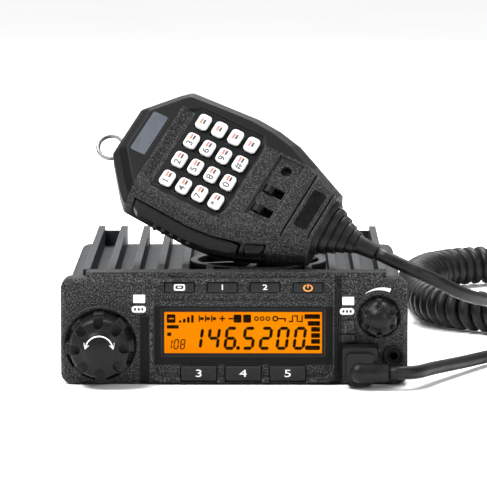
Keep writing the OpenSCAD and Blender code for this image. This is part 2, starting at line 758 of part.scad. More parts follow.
module side_key() on_mic() color(case_black) hull() {
    translate([0, 0, mic_split + 1.3]) linear_extrude(7.1) polygon([[31.5, -22.3], [31.5, -26.4],
        [38.5, -23.4], [38.5, -22.3]]);
    translate([0, 0, mic_split + 2.4]) linear_extrude(4.6) polygon([[32.4, -23], [32.4, -28.2],
        [37.6, -25.6], [37.6, -23]]);
}

module mic_slider(at) on_mic() color(case_black) {
    box([at[0] - 3.6, at[1] - 1.9, -5.4], [at[0] - 0.2, at[1] + 1.9, 0.4]);
    box([at[0] - 2.5, at[1] - 1.9, 0.3], [at[0] - 1.3, at[1] + 1.9, 1]);
}

module hang_ring() on_mic() color(steel) translate(ring_hinge) {
    rotate([90, 0, 0]) cylinder(r = ring_pin_r, h = 11.2, center = true);
    translate([-1.2 - ring_mean_r, 0, 0]) rotate_extrude()
        translate([ring_mean_r, 0]) circle(ring_wire_r, $fn = 24);
}

module mic_board() on_mic() color(board_green) {
    box([-24, -15.5, -8], [42, 15.5, -6.6]);
    for (p = switch_at) box([p[0] - 4, p[1] - 2.6, -6.7], [p[0] + 4, p[1] + 2.6, -5.5]);
    translate([30.4, 11.9, -6.7]) cylinder(r = 3, h = 3.2);
    box([-8, -13, -11.5], [14, 4, -7.9]);
}

module mic_nameplate() on_mic() color([0.30, 0.33, 0.38]) translate([-29.4, 0, -0.7])
    linear_extrude(1) round_rect([7, 20.8], 0.9);

module mic_screws() on_mic() color(steel) for (p = mic_screw_at)
    translate([p[0], p[1], -mic_t + 0.4]) cylinder(r = 1.2, h = 4.5);

// Rubber strain relief: oval ribs that narrow towards the lead, then a plain sleeve
module mic_boot() on_mic() color(rubber_black) {
    for (i = [0:len(boot_ribs) - 1]) translate([mic_end + 3.3 * i, 0, boot_z]) {
        rotate([90, 0, 90]) linear_extrude(2.2, scale = 0.93) scale([1, 0.72])
            circle(boot_ribs[i], $fn = 40);
        rotate([90, 0, 90]) linear_extrude(3.4) scale([1, 0.72]) circle(0.8 * boot_ribs[i], $fn = 40);
    }
    translate([mic_end + 16.5, 0, boot_z]) rotate([0, 90, 0])
        cylinder(r1 = 4, r2 = 3.3, h = boot_end - mic_end - 16.5);
}

// ---- Cord ----

module mic_lead() color(rubber_black) tube(mic_lead_route, lead_d, 10, 2);
module curly_cord() color(rubber_black) tube(curl_route, curl_d, 12, 2);
module plug_lead() color(rubber_black) tube(plug_lead_route, lead_d, 10, 2);

// Right-angle rubber plug: contact block in the socket, square body, turned stub for the lead
module mic_plug() color(rubber_black) {
    slab(face_y - 1, board_y + 5) translate(plug_at) square([11.6, 8.1], center = true);
    slab(face_y - 12, face_y + 0.9) translate(plug_at) round_rect([14.6, 14.2], 1.6);
    slab(face_y - 14.4, face_y - 3) translate(plug_at - [0, 0.6]) round_rect([11, 11], 1.6);
    slab(face_y - 9, face_y - 5) translate(plug_at - [0, 8]) round_rect([9.4, 2.8], 1);
    translate([plug_at[0], face_y - 13.5, plug_at[1] - 3]) sphere(r = 4.3);
    translate([plug_at[0], face_y - 13.5, plug_at[1] - 3]) rotate([0, 90, 0])
        cylinder(r1 = 4.3, r2 = 3.6, h = 64 - plug_at[0]);
}

chassis();
bottom_cover();
front_panel();
display_window();
lcd_module();
front_board();
indicator_lenses();
channel_encoder();
channel_shaft();
channel_knob();
volume_pot();
volume_shaft();
volume_knob();
top_panel_key(0);  // key_monitor
top_panel_key(1);  // key_p1
top_panel_key(2);  // key_p2
top_panel_key(3);  // key_power
low_panel_key(0);  // key_p3
low_panel_key(1);  // key_p4
low_panel_key(2);  // key_p5
mic_jack();
phone_jacks();
main_board();
speaker();
fan_frame();
fan_rotor();
antenna_connector();
dc_inlet();
case_screws();
mic_front_case();
mic_rear_case();
ptt_bar();
side_key();
mic_slider(switch_at[0]);  // lock_switch
mic_slider(switch_at[1]);  // tone_switch
hang_ring();
mic_board();
mic_nameplate();
mic_screws();
mic_boot();
mic_lead();
curly_cord();
plug_lead();
mic_plug();
for (r = [0:3]) for (c = [0:3])
    mic_key(r, c);
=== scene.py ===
import math

import bpy
import bmesh
from mathutils import Matrix, Vector


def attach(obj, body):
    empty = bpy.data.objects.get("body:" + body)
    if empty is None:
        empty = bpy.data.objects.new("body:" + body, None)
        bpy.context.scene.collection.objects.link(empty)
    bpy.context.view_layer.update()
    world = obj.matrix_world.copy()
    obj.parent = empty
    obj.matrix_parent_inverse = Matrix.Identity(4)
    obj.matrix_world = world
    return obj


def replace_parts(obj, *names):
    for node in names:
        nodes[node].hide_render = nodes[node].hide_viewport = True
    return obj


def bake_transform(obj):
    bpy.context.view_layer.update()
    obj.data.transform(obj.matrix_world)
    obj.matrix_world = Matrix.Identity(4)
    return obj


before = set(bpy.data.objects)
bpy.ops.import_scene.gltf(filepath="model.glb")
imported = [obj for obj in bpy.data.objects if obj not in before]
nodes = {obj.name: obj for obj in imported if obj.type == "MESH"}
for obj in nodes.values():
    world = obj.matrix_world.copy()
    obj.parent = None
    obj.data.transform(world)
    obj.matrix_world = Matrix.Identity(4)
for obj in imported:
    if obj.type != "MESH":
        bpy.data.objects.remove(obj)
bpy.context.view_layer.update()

# ---- Camera ----
# A long lens 1.6 m in front of the radio, a little above it and looking slightly
# down, so that the fins show over the front panel.
bpy.ops.object.select_all(action="DESELECT")
camera_data = bpy.data.cameras.new("camera")
camera_data.lens = 265.5
camera_data.clip_end = 20
camera = bpy.data.objects.new("camera", camera_data)
bpy.context.scene.collection.objects.link(camera)
camera.location = (0.0132, -1.607, 0.2523)
look_down, look_left = 0.12785, 0.0061
camera.rotation_euler = (math.pi / 2 - look_down, 0, look_left)
bpy.context.scene.camera = camera

# ---- Microphone cord ----
# One moulded PVC cord: a straight lead from the microphone, a curly part that lies in
# a loop beside the radio, and a straight lead to the plug. The curly part is wound
# close, with half a millimetre between its turns.
MM = 0.001


class Value:
    """A node's output: an operator on it adds the Math node that works it out."""

    def __init__(self, finish, socket):
        self.finish = finish
        self.socket = socket

    def math(self, operation, *values):
        return self.finish.node("ShaderNodeMath", {"operation": operation}, dict(enumerate(values)))

    def __add__(self, other):
        return self.math("ADD", self, other)

    def __radd__(self, other):
        return self.math("ADD", other, self)

    def __sub__(self, other):
        return self.math("SUBTRACT", self, other)

    def __rsub__(self, other):
        return self.math("SUBTRACT", other, self)

    def __mul__(self, other):
        return self.math("MULTIPLY", self, other)

    def __rmul__(self, other):
        return self.math("MULTIPLY", other, self)

    def __truediv__(self, other):
        return self.math("DIVIDE", self, other)

    def __gt__(self, other):
        return self.math("GREATER_THAN", self, other)

    def __lt__(self, other):
        return self.math("LESS_THAN", self, other)

    def sin(self):
        return self.math("SINE", self)


class Finish:
    """One material: its Principled shader's fixed values, and one way to add any other node."""

    def __init__(self, name, fixed):
        self.material = bpy.data.materials.new(name)
        self.material.use_nodes = True
        self.tree = self.material.node_tree
        self.shader = self.tree.nodes["Principled BSDF"]
        for key, value in fixed.items():
            self.shader.inputs[key].default_value = value

    def node(self, kind, settings, values, out=0):
        made = self.tree.nodes.new(kind)
        for key, value in settings.items():
            if key == "stops":
                while len(made.color_ramp.elements) < len(value):
                    made.color_ramp.elements.new(1.0)
                for element, (place, colour) in zip(made.color_ramp.elements, value):
                    element.position = place
                    element.color = colour
            else:
                setattr(made, key, value)
        for key, value in values.items():
            if isinstance(value, Value):
                self.tree.links.new(value.socket, made.inputs[key])
            else:
                made.inputs[key].default_value = value
        return Value(self, made.outputs[out])

    def feed(self, name, value):
        self.tree.links.new(value.socket, self.shader.inputs[name])

    def place(self):
        return self.node("ShaderNodeTexCoord", {}, {}, "Object")

    def noise(self, size, detail=2.0, rough=0.5, at=None):
        """Noise between 0 and 1 whose lumps are about size metres across."""
        return self.node("ShaderNodeTexNoise", {}, {"Vector": at or self.place(), "Scale": 1 / size,
                         "Detail": detail, "Roughness": rough})

    def ramp(self, factor, low, high, first, last):
        """A colour that goes from first to last as factor goes from low to high."""
        return self.node("ShaderNodeValToRGB", {"stops": [(low, first), (high, last)]},
                         {"Fac": factor})

    def mix(self, share, first, second):
        """The first colour where share is 0 and the second where it is 1."""
        return self.node("ShaderNodeMix", {"data_type": "RGBA"}, {0: share, 6: first, 7: second}, 2)

    def mottle(self, size, first, last):
        """Feeds a colour that drifts between first and last in patches size metres across."""
        self.feed("Base Color", self.ramp(self.noise(size), 0.3, 0.7, first, last))

    def fade(self, value, low, high, to_low=0.0, to_high=1.0):
        """value, from low to high, moved onto to_low to to_high and kept between them."""
        return self.node("ShaderNodeMapRange", {}, {"Value": value, "From Min": low,
                         "From Max": high, "To Min": to_low, "To Max": to_high})

    def relief(self, height, depth, edge=0.0):
        """Feeds the surface's relief: height times depth metres, over edges rounded by edge."""
        values = {"Height": height, "Distance": depth, "Strength": 1.0}
        if edge:
            values["Normal"] = self.node("ShaderNodeBevel", {"samples": 6}, {"Radius": edge})
        self.feed("Normal", self.node("ShaderNodeBump", {}, values))

    def edges(self, radius):
        """1 on a sharp outer or inner edge and 0 on the flat, over about radius metres."""
        rounded = self.node("ShaderNodeBevel", {"samples": 6}, {"Radius": radius})
        flat = self.node("ShaderNodeNewGeometry", {}, {}, "True Normal")
        along = self.node("ShaderNodeVectorMath", {"operation": "DOT_PRODUCT"},
                          {0: rounded, 1: flat}, "Value")
        return self.fade(along, 0.995, 0.80)


def grey(level, tint=0.0):
    """An opaque grey, a little blue for a tint above 0."""
    return (level, level * (1 + tint / 2), level * (1 + tint), 1)


def cover(finish, *names):
    """Gives CAD nodes a finish."""
    for name in names:
        nodes[name].data.materials.clear()
        nodes[name].data.materials.append(finish.material)


def through(points, steps):
    """A smoothly bending curve through given points, as a list of steps places for each stretch."""
    places = []
    for k in range(len(points) - 1):
        b, c = Vector(points[k]), Vector(points[k + 1])
        a = Vector(points[k - 1]) if k else 2 * b - c
        d = Vector(points[k + 2]) if k < len(points) - 2 else 2 * c - b
        for i in range(steps):
            t = i / steps
            places.append(0.5 * (2 * b + (c - a) * t + (2 * a - 5 * b + 4 * c - d) * t * t
                                 + (3 * b - a - 3 * c + d) * t ** 3))
    return places + [Vector(points[-1])]


def evenly(line, gap):
    """The same line with its places about gap apart."""
    far = [0.0]
    for p, q in zip(line, line[1:]):
        far.append(far[-1] + (q - p).length)
    count = max(2, round(far[-1] / gap))
    places, k = [], 0
    for i in range(count + 1):
        at = far[-1] * i / count
        while k < len(far) - 2 and far[k + 1] < at:
            k += 1
        places.append(line[k].lerp(line[k + 1], (at - far[k]) / (far[k + 1] - far[k])))
    return places


def tube(name, line, radius, sides):
    """A closed round tube along line. Its UV map runs along it in metres and once round it."""
    mesh = bmesh.new()
    uv = mesh.loops.layers.uv.new("UVMap")
    rings, far, up = [], [], Vector((0, 0, 1))
    for i, p in enumerate(line):
        ahead = (line[min(i + 1, len(line) - 1)] - line[max(i - 1, 0)]).normalized()
        up = (up - ahead * up.dot(ahead)).normalized()
        side = ahead.cross(up)
        far.append(far[-1] + (p - line[i - 1]).length if i else 0.0)
        turns = [2 * math.pi * j / sides for j in range(sides)]
        rings.append([mesh.verts.new(p + radius * (math.cos(a) * side + math.sin(a) * up))
                      for a in turns])
    for i in range(len(line) - 1):
        for j in range(sides):
            k = (j + 1) % sides
            face = mesh.faces.new((rings[i][j], rings[i + 1][j], rings[i + 1][k], rings[i][k]))
            face.smooth = True
            corners = ((far[i], j), (far[i + 1], j), (far[i + 1], j + 1), (far[i], j + 1))
            for loop, (u, v) in zip(face.loops, corners):
                loop[uv].uv = (u, v / sides)
    mesh.faces.new(rings[0])
    mesh.faces.new(rings[-1][::-1])
    bmesh.ops.recalc_face_normals(mesh, faces=mesh.faces)
    data = bpy.data.meshes.new(name)
    mesh.to_mesh(data)
    mesh.free()
    made = bpy.data.objects.new(name, data)
    bpy.context.scene.collection.objects.link(made)
    return made


def mm(points):
    return [Vector(p) * MM for p in points]


LEAD = 5.6 * MM
CURL = 19 * MM
PITCH = 6.1 * MM
SPIN = Matrix.Rotation(math.radians(54), 3, "X") @ Matrix.Rotation(math.radians(-28.7), 3, "Z")
MIC = Vector((-10.5, -58, 90.6)) * MM


def on_mic(x, y, z):
    """A point given in the microphone's own directions, in millimetres, in the radio's frame."""
    return MIC + SPIN @ (Vector((x, y, z)) * MM)


mic_route = [on_mic(80.3, 0, -9.5), on_mic(92, 0, -9.5)] + mm([
    (82, -77, 44), (95, -68, 36.5), (106, -50, 31), (117, -26, 27), (130, 2, 24), (146, 30, 20.5),
    (160, 52, 14), (168, 68, 9.8)])
curl_route = mm([
    (150, 24, 9.8), (140, 42, 9.8), (121, 55, 9.8), (102, 68, 9.8), (91, 88, 9.8), (87, 114, 9.8),
    (86, 146, 9.8), (88, 178, 9.8), (98, 205, 9.8), (118, 221, 9.8), (142, 221, 9.8),
    (161, 206, 9.8), (170, 178, 9.8), (171, 146, 9.8), (169, 106, 9.8), (168, 68, 9.8)])
plug_route = mm([
    (64.05, -97.5, 7), (69, -97.5, 7), (76, -92, 6.4), (84, -76, 5.6), (97, -52, 4.2),
    (111, -28, 3.2), (127, -14, 3), (143, -8, 3), (152, 3, 5), (150, 24, 9.8)])


def wind(line, radius, pitch, per_turn, ease):
    """A helix of that radius round line. Over ease metres at each end it opens from the line."""
    steps = evenly(line, pitch / per_turn)
    length = sum((q - p).length for p, q in zip(steps, steps[1:]))
    wound, up = [], Vector((0, 0, 1))
    for i, p in enumerate(steps):
        ahead = (steps[min(i + 1, len(steps) - 1)] - steps[max(i - 1, 0)]).normalized()
        up = (up - ahead * up.dot(ahead)).normalized()
        gone = length * i / (len(steps) - 1)
        open_ = min(1.0, gone / ease, (length - gone) / ease)
        out = radius * (0.5 - 0.5 * math.cos(math.pi * open_))
        turn = 2 * math.pi * i / per_turn
        wound.append(p + out * (math.cos(turn) * up + math.sin(turn) * ahead.cross(up)))
    return wound


curl_line = wind(evenly(through(curl_route, 12), 1 * MM), (CURL - LEAD) / 2, PITCH, 16, 6 * MM)
plug_line = evenly(through(plug_route, 10), 4 * MM)
mic_line = evenly(through(mic_route, 10), 4 * MM)

cord_rubber = Finish("cord_rubber", {"Specular IOR Level": 0.16})
cord_map = cord_rubber.node("ShaderNodeTexCoord", {}, {}, "UV")
cord_along = cord_rubber.node("ShaderNodeSeparateXYZ", {}, {0: cord_map}, "X")
cord_ripples = 2600  # radians of ripple in each metre of cord
cord_dust = cord_rubber.noise(6 * MM, 4)
cord_rubber.feed("Base Color", cord_rubber.ramp(cord_dust, 0.35, 0.75, grey(0.004), grey(0.009, 0.1)))
cord_rubber.feed("Roughness", cord_rubber.fade(cord_dust, 0.3, 0.7, 0.34, 0.52))
cord_rubber.relief(cord_rubber.noise(0.5 * MM, 2) * 0.6
                   + (cord_along * cord_ripples).sin() * 0.1, 0.05 * MM)

main_line = plug_line[:-1] + curl_line
curly_piece = tube("mic_cord_curly", main_line, LEAD / 2, 10)
curly_piece.data.materials.append(cord_rubber.material)
lead_piece = tube("mic_cord_lead", mic_line, LEAD / 2, 14)
lead_piece.data.materials.append(cord_rubber.material)
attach(curly_piece, "radio")
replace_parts(curly_piece, "curly_cord", "plug_lead")
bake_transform(lead_piece)
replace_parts(lead_piece, "mic_lead")
cover(cord_rubber, "mic_boot", "mic_plug")

# ---- Die-cast case ----
# The heatsink, side walls and fan guard are one aluminium die casting, sprayed with a
# dark satin grey-blue paint whose edges are painted lighter, partly where the paint is thinner
# and partly as a painted highlight. The flat plate below is painted the same.
cast_paint = Finish("cast_paint", {"Specular IOR Level": 0.22})
cast_lumps = cast_paint.noise(9 * MM, 3)
cast_grain = cast_paint.noise(0.55 * MM, 3, 0.6)
cast_edge_wear_and_highlight = cast_paint.edges(0.9 * MM)
cast_colour = cast_paint.ramp(cast_lumps, 0.3, 0.7, grey(0.013, 0.22), grey(0.020, 0.22))
# The edges are painted lighter: partly thin paint, partly a painted highlight.
cast_paint.feed("Base Color", cast_paint.mix(cast_edge_wear_and_highlight * 0.55, cast_colour, grey(0.07, 0.12)))
cast_paint.feed("Roughness", cast_paint.fade(cast_grain, 0.3, 0.7, 0.42, 0.6))
cast_paint.relief(cast_grain, 0.05 * MM, 0.6 * MM)
cover(cast_paint, "chassis", "bottom_cover")

# ---- Front panel ----
# An injection-moulded ABS front with a fine spark-eroded grain, held by its rim on the
# casting; the grain's light flecks are painted glints. Its edges are rubbed a little smoother
# than its faces and painted lighter, partly as wear and partly as a painted highlight, and the
# bezel inside the display frame and a band on each side of it are polished.


def moulded(name, level, grain, depth, rough, edge, edge_highlight_and_wear_share=0.5, painted_glint_speckle=2.0, smooth=None):
    """Black plastic with a moulded grain: lumps grain metres across and depth metres deep.
    The grain's lighter flecks are painted glints, and the edges are painted lighter, partly as
    wear and partly as a painted highlight. The last argument is a function of the finish that
    gives 1 where the mould has a polish, and also where painted shade darkens it, 0 elsewhere."""
    made = Finish(name, {"Specular IOR Level": 0.1})
    lumps = made.noise(grain, 2, 0.6)
    edge_wear_and_highlight = made.edges(edge * 1.5)
    # The lighter flecks of the grain are painted glints.
    grain_and_glints = made.ramp(lumps, 0.5, 0.63, grey(level, 0.08), grey(level * painted_glint_speckle, 0.05))
    if smooth:
        # Darker and smoother where this is 1: a polish, and on the microphone's rim and back painted
        # shade.
        polish_and_shade = smooth(made)
        grain_and_glints = made.mix(polish_and_shade, grain_and_glints, grey(level * 0.45, 0.1))
        lumps = lumps * (1 - polish_and_shade)
    # The edges are painted lighter: partly rubbing wear, partly a painted highlight.
    made.feed("Base Color", made.mix(edge_wear_and_highlight * edge_highlight_and_wear_share, grain_and_glints, grey(level * 8, 0.06)))
    made.feed("Roughness", made.fade(lumps, 0.3, 0.7, rough + 0.06, rough - 0.08) - edge_wear_and_highlight * 0.06)
    made.relief(lumps, depth, edge)
    return made


def panel_smooth(made):
    """1 on the polished bezel and on the bands beside the frame, set by place in millimetres."""
    x, z = (made.node("ShaderNodeSeparateXYZ", {}, {"Vector": made.place()}, axis) / MM
            for axis in ("X", "Z"))
    left = (x > -39.4) * (x < -35.6) * (z < 29.5)
    right = (x > 41.9) * (x < 44.9) * (z < 45.5)
    bezel = (x > -33.9) * (x < 41.4) * (z > 8) * (z < 32.6)
    return made.fade(left + right + bezel, 0, 1)


panel_plastic = moulded("panel_plastic", level=0.006, grain=0.6 * MM, depth=0.16 * MM, rough=0.42,
                        edge=0.45 * MM, edge_highlight_and_wear_share=0.7, painted_glint_speckle=14, smooth=panel_smooth)
cover(panel_plastic, "front_panel")

# ---- Display ----
# A backlit liquid crystal block behind a clear acrylic window that is pressed into the
# panel. The segments are dark on an amber field, and a black mask frames them.
window_clear = Finish("window_clear", {"Base Color": (0.03, 0.02, 0.01, 1), "IOR": 1.49,
                                       "Alpha": 0.03, "Specular IOR Level": 0.1})
window_clear.feed("Roughness", window_clear.fade(window_clear.noise(8 * MM), 0.3, 0.7, 0.03, 0.08))
cover(window_clear, "display_window")
amber = Finish("amber_backlight", {"Roughness": 0.6, "Base Color": (0.1, 0.02, 0.0, 1),
                                   "Specular IOR Level": 0.0, "Emission Strength": 0.95})
amber_glow = amber.noise(30 * MM, 1)
amber.feed("Emission Color", amber.ramp(amber_glow, 0.3, 0.7, (1.0, 0.24, 0.0, 1),
                                        (1.0, 0.29, 0.0, 1)))
cover(amber, "lcd_module")
crystal_dark = Finish("crystal_dark", {"Roughness": 0.5, "Specular IOR Level": 0.0})
crystal_dark.mottle(2 * MM, (0.008, 0.003, 0.001, 1), (0.016, 0.006, 0.002, 1))
FACING = Matrix.Rotation(math.pi / 2, 4, "X")
CRYSTAL_FACE = -80.44
MASK_FACE = -82.42
SIGN_ROW = 27.1


def start(kind, **size):
    """Adds a primitive on its own, with nothing else selected, and goes into edit mode."""
    bpy.ops.object.select_all(action="DESELECT")
    getattr(bpy.ops.mesh, f"primitive_{kind}_add")(**size)
    bpy.ops.object.mode_set(mode="EDIT")
    return bpy.context.object


def raise_by(height, scale=1.0):
    """Extrudes what is selected along Z and scales its new face."""
    bpy.ops.mesh.extrude_region_move(TRANSFORM_OT_translate={"value": (0, 0, height)})
    if scale != 1.0:
        bpy.ops.transform.resize(value=(scale, scale, 1))


def stretch(width, height):
    bpy.ops.transform.resize(value=(width, height, 1))


def done(piece, name, place, finish=None):
    """Leaves edit mode, puts the piece in its place in the mesh and gives it its finish."""
    bpy.ops.object.mode_set(mode="OBJECT")
    piece.data.transform(piece.matrix_world)
    piece.matrix_world = Matrix()
    piece.data.transform(place)
    piece.name = name
    if finish:
        piece.data.materials.clear()
        piece.data.materials.append(finish.material)
    return piece


def again(piece, place):
    """A copy of a piece with its own mesh, moved by place."""
    made = piece.copy()
    made.data = piece.data.copy()
    bpy.context.scene.collection.objects.link(made)
    made.data.transform(place)
    return made


def joined(name, parts, body):
    """Several parts as one piece that rides on a body."""
    bpy.ops.object.select_all(action="DESELECT")
    for part in parts:
        part.select_set(True)
    bpy.context.view_layer.objects.active = parts[0]
    if len(parts) > 1:
        bpy.ops.object.join()
    made = bpy.context.view_layer.objects.active
    made.name = name
    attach(made, body)
    return made


def on_panel(x, y, z):
    """Places a flat shape drawn in X and Y so that it faces out of the panel, in millimetres."""
    return Matrix.Translation(Vector((x, y, z)) * MM) @ FACING


def bar(width, height, round_=0.0, thick=0.06, finish=crystal_dark):
    """A flat bar with its corners cut or rounded by round_, all in millimetres."""
    piece = start("plane", size=1 * MM)
    stretch(width, height)
    if round_:
        steps = 1 if round_ > height * 0.45 else 4
        bpy.ops.mesh.bevel(affect="VERTICES", offset=round_ * MM, segments=steps)
    raise_by(thick * MM)
    return done(piece, "bar", Matrix(), finish)


def hoop(outer, inner, thick=0.06, finish=crystal_dark, sides=40):
    """A flat ring, in millimetres."""
    piece = start("circle", vertices=sides, radius=outer * MM, fill_type="NGON")
    bpy.ops.mesh.inset(thickness=(outer - inner) * MM)
    bpy.ops.mesh.delete(type="FACE")
    bpy.ops.mesh.select_all(action="SELECT")
    raise_by(thick * MM)
    bpy.ops.mesh.normals_make_consistent()
    return done(piece, "hoop", Matrix(), finish)


LIT = {"0": "abcdef", "1": "bc", "2": "abged", "4": "fgbc", "5": "afgcd", "6": "afgedc", "8": "abcdefg"}


def segments(digit, x, z, width, height, stroke):
    """The lit bars of one leaning seven-segment digit, its lower left corner at x, z."""
    lean = Matrix.Identity(4)
    lean[0][1] = 0.13
    flat = bar(width - stroke * 1.1, stroke, stroke * 0.49)
    tall = bar(height / 2 - stroke * 0.65, stroke, stroke * 0.49)
    tall.data.transform(Matrix.Rotation(math.pi / 2, 4, "Z"))
    w, h, t = width - stroke / 2, height, stroke / 2
    spots = {"a": (flat, width / 2, h - t), "g": (flat, width / 2, h / 2), "d": (flat, width / 2, t),
             "f": (tall, t, h * 0.75 - t / 2), "b": (tall, w, h * 0.75 - t / 2),
             "e": (tall, t, h * 0.25 + t / 2), "c": (tall, w, h * 0.25 + t / 2)}
    made = []
    for key in LIT[digit]:
        shape, u, v = spots[key]
        made.append(again(shape, on_panel(x, CRYSTAL_FACE, z) @ lean @ Matrix.Translation(
            (u * MM, v * MM, 0))))
    for shape in (flat, tall):
        bpy.data.objects.remove(shape)
    return made


shown = []
for k, digit in enumerate("1465200"):
    shown += segments(digit, -18.9 + 7.1 * k + (0.5 if k > 2 else 0), 13.9, 5.2, 9.8, 1.35)
for k, digit in enumerate("108"):
    shown += segments(digit, -28.3 + 2.7 * k, 14.1, 2.1, 4.3, 0.5)


def show(piece, x, z):
    piece.data.transform(on_panel(x, CRYSTAL_FACE, z))
    shown.append(piece)


show(bar(1.5, 1.5, 0.4), 1.6, 14.7)
for width, z in ((6.5, 28), (5.1, 25.1), (3.7, 22.6), (3.7, 20), (3.7, 17.5)):
    show(bar(width, 2.0, 0.2), 35.9 - width / 2, z)
show(bar(6.3, 1.9, 0.7), 32.8, 14.8)
show(bar(3.6, 3.6, 0.5), -26.4, SIGN_ROW)
show(bar(2.0, 0.5, 0.1, 0.1, amber), -26.4, SIGN_ROW)
for k in range(4):
    show(bar(1.1, 0.9 + 0.75 * k, 0.1), -22.6 + 1.7 * k, 25.85 + 0.375 * k)
for k in range(3):
    show(bar(0.55, 2.8, 0.1), -14.6 + 2.6 * k, SIGN_ROW)
    show(bar(1.5, 1.2, 0.3), -13.5 + 2.6 * k, SIGN_ROW)
show(bar(2.4, 0.6, 0.1), -5.0, SIGN_ROW)
show(bar(0.6, 2.4, 0.1), -5.0, SIGN_ROW)
show(bar(2.2, 0.6, 0.1), -1.4, SIGN_ROW)
show(bar(3.3, 3.4, 0.4), 1.4, SIGN_ROW)
show(bar(3.3, 3.4, 0.4), 5.4, SIGN_ROW)
for k in range(3):
    show(hoop(1.0, 0.5), 9.3 + 2.4 * k, SIGN_ROW)
show(hoop(1.25, 0.65), 17.2, SIGN_ROW)
show(bar(3.4, 0.6, 0.1), 20.0, SIGN_ROW)
show(bar(0.6, 1.2, 0.1), 21.3, 26.4)
for k in range(3):
    show(bar(1.5, 0.55, 0.1), 23.6 + 2.0 * k, 28.3 if k % 2 else 25.9)
    show(bar(0.55, 2.9, 0.1), 24.4 + 2.0 * k, SIGN_ROW)
show(bar(5.0, 1.5, 0.3), -25.7, 23.6)
show(bar(1.7, 1.5, 0.3), -27.2, 20.5)
joined("display_segments", shown, "radio")

mask_black = Finish("mask_black", {"Roughness": 0.25, "Specular IOR Level": 0.1})
mask_black.mottle(3 * MM, grey(0.002), grey(0.005))
rim = start("plane", size=1 * MM)
stretch(68.2, 19.7)
bpy.ops.mesh.inset(thickness=1.15 * MM)
bpy.ops.mesh.delete(type="FACE")
bpy.ops.mesh.select_all(action="SELECT")
raise_by(0.1 * MM)
bpy.ops.mesh.normals_make_consistent()
done(rim, "rim", on_panel(3.75, MASK_FACE, 21.5), mask_black)
joined("display_mask", [rim], "radio")

# ---- Keys ----
# Silicone-backed ABS keys, satin black, with painted marks. The four over the display
# are shallow, and the three under it are wider.
key_plastic = moulded("key_plastic", level=0.011, grain=0.5 * MM, depth=0.05 * MM, rough=0.42,
                      edge=0.3 * MM)
cover(key_plastic, "key_monitor", "key_p1", "key_p2", "key_power", "key_p3", "key_p4", "key_p5")
paint_white = Finish("paint_white", {"Roughness": 0.45})
paint_white.mottle(0.6 * MM, grey(0.66), grey(0.8))
paint_amber = Finish("paint_amber", {"Roughness": 0.45})
paint_amber.mottle(0.6 * MM, (0.75, 0.24, 0.03, 1), (0.85, 0.32, 0.05, 1))


def number(words, place, size, finish, wide=1.0, bold=0.0):
    """A number in a thin layer of paint, size millimetres high, drawn in X and Y at place.
    wide stretches it across, and bold thickens its strokes by that many millimetres."""
    bpy.ops.object.select_all(action="DESELECT")
    bpy.ops.object.text_add()
    made = bpy.context.object
    made.data.body = words
    made.data.size = size * 1.38 * MM
    made.data.extrude = 0.02 * MM
    made.data.offset = bold * MM
    made.data.align_x = "CENTER"
    made.data.align_y = "CENTER"
    bpy.ops.object.convert(target="MESH")
    made = bpy.context.object
    made.data.transform(Matrix.Diagonal((wide, 1, 1, 1)))
    made.data.transform(place)
    made.data.materials.clear()
    made.data.materials.append(finish.material)
    return made


KEY_FACE = -84.42
MONITOR_X = -22.8
POWER_X = 30.8
for k, (key, x) in enumerate((("key_p1", -4.9), ("key_p2", 12.9))):
    joined(key + "_mark", [number(str(k + 1), on_panel(x, KEY_FACE, 40.8), 2.3, paint_white, 1.5)],
           key)
for k, (key, x) in enumerate((("key_p3", -14.8), ("key_p4", 3.8), ("key_p5", 22.4))):
    joined(key + "_mark", [number(str(k + 3), on_panel(x, KEY_FACE, 4.4), 3.2, paint_white, 1.5)],
           key)
frame_mark = bar(4.6, 2.6, 0.6, 0.04, paint_white)
slot_mark = bar(3.4, 1.5, 0.4, 0.02, key_plastic)
dot_mark = bar(1.6, 0.5, 0.1, 0.02, paint_white)
frame_mark.data.transform(on_panel(MONITOR_X, KEY_FACE + 0.02, 40.8))
slot_mark.data.transform(on_panel(MONITOR_X, KEY_FACE - 0.03, 40.9))
dot_mark.data.transform(on_panel(MONITOR_X, KEY_FACE - 0.05, 40.9))
joined("key_monitor_mark", [frame_mark, slot_mark, dot_mark], "key_monitor")
power_ring = hoop(1.5, 1.1, 0.04, paint_amber)
power_ring.data.transform(on_panel(POWER_X, KEY_FACE, 40.6) @ Matrix.Diagonal((1.35, 1, 1, 1)))
power_gap = bar(1.3, 1.3, 0.0, 0.02, key_plastic)
power_gap.data.transform(on_panel(POWER_X, KEY_FACE - 0.04, 41.8))
power_line = bar(0.45, 1.7, 0.1, 0.02, paint_amber)
power_line.data.transform(on_panel(POWER_X, KEY_FACE - 0.06, 41.5))
joined("key_power_mark", [power_ring, power_gap, power_line], "key_power")

# ---- Indicator lenses and their plates ----
# Two white acrylic light pipes pushed through the panel from behind. Each stands over
# a small plate printed in white on the panel, with three dark dots.
LENS_PLATE = -84.5
# The lenses are given a faint white glow of their own: painted brightness, not a lamp.
lens_white = Finish("lens_white", {"Roughness": 0.3, "Emission Strength": 0.25,
                                   "Emission Color": (1, 1, 1, 1)})
lens_white.mottle(2 * MM, grey(0.8), grey(0.9))
cover(lens_white, "indicator_lenses")
for side, x, z in (("left", -39.8, 31.6), ("right", 47.1, 30.8)):
    plate = bar(5.9, 2.7, 1.1, 0.12, paint_white)
    plate.data.transform(on_panel(x, LENS_PLATE, z))
    marks = []
    for k in range(3):
        mark = bar(0.9, 1.1, 0.2, 0.03, key_plastic)
        mark.data.transform(on_panel(x - 1.5 + 1.5 * k, LENS_PLATE - 0.11, z))
        marks.append(mark)
    joined(f"lens_plate_{side}", [plate] + marks, "radio")

